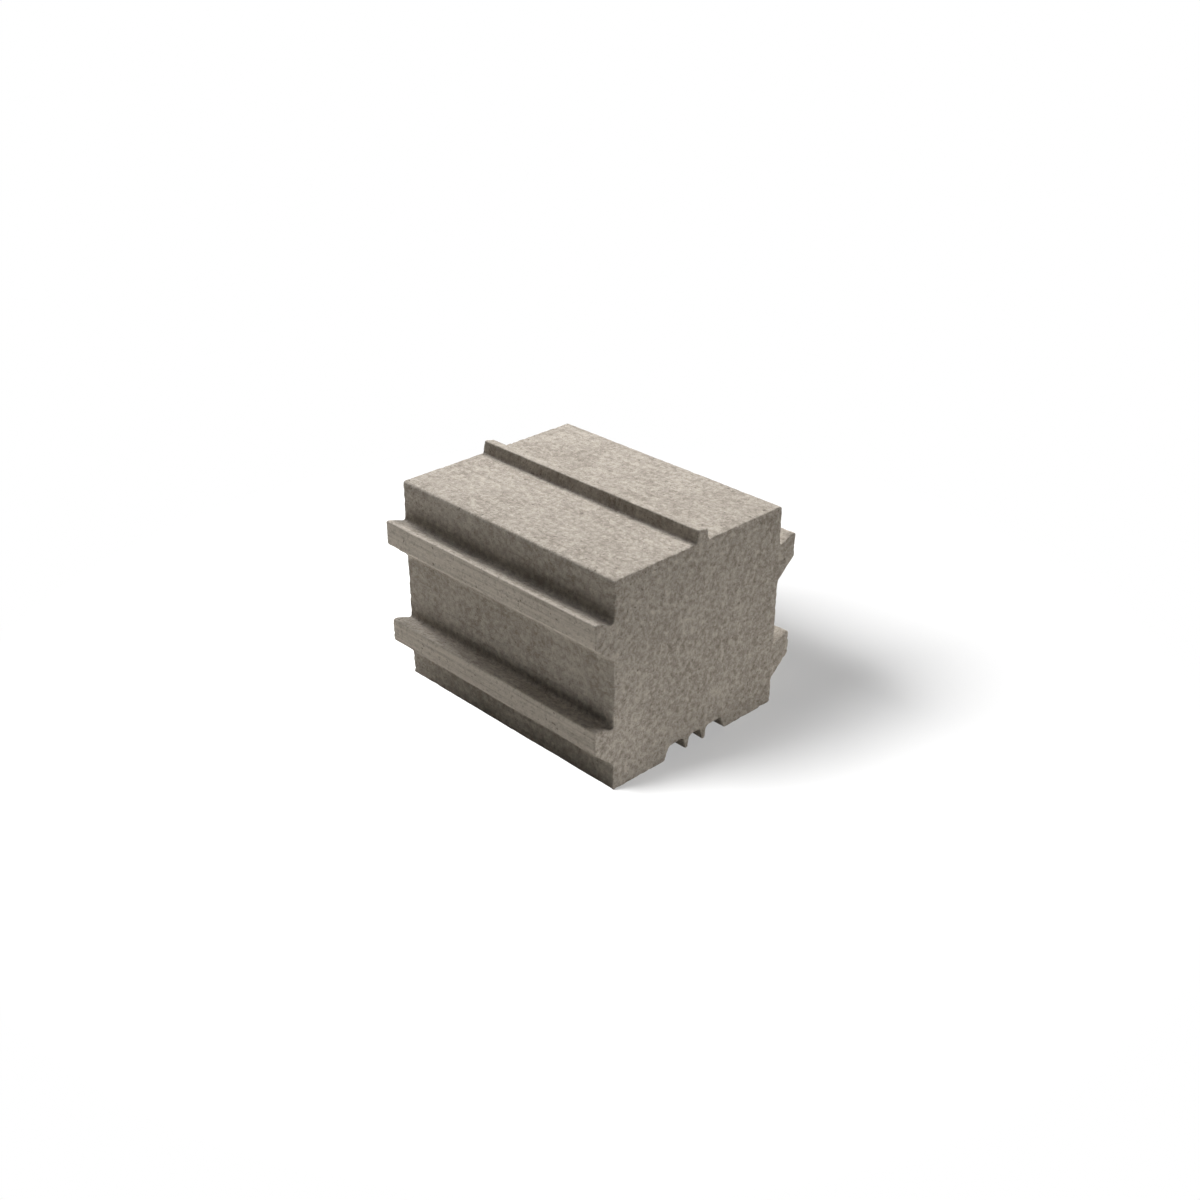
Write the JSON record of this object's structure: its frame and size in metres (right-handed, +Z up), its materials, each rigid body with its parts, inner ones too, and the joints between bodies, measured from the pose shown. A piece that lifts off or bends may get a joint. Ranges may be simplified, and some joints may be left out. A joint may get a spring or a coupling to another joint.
{
  "type": "retaining wall block",
  "caption": "Solid concrete retaining wall block of constant section, with hooked rails along both long sides, a ridge along its top and a channel with slot teeth underneath.",
  "frame": {"origin": "middle of the footprint, on the ground", "axes": "+X along the block's length, +Y across it, +Z up"},
  "size_m": [0.203, 0.186, 0.159],
  "materials": {
    "concrete": "matt, as tamped in a steel mould"
  },
  "bodies": {
    "root": {"block": "concrete"}
  },
  "joints": []
}
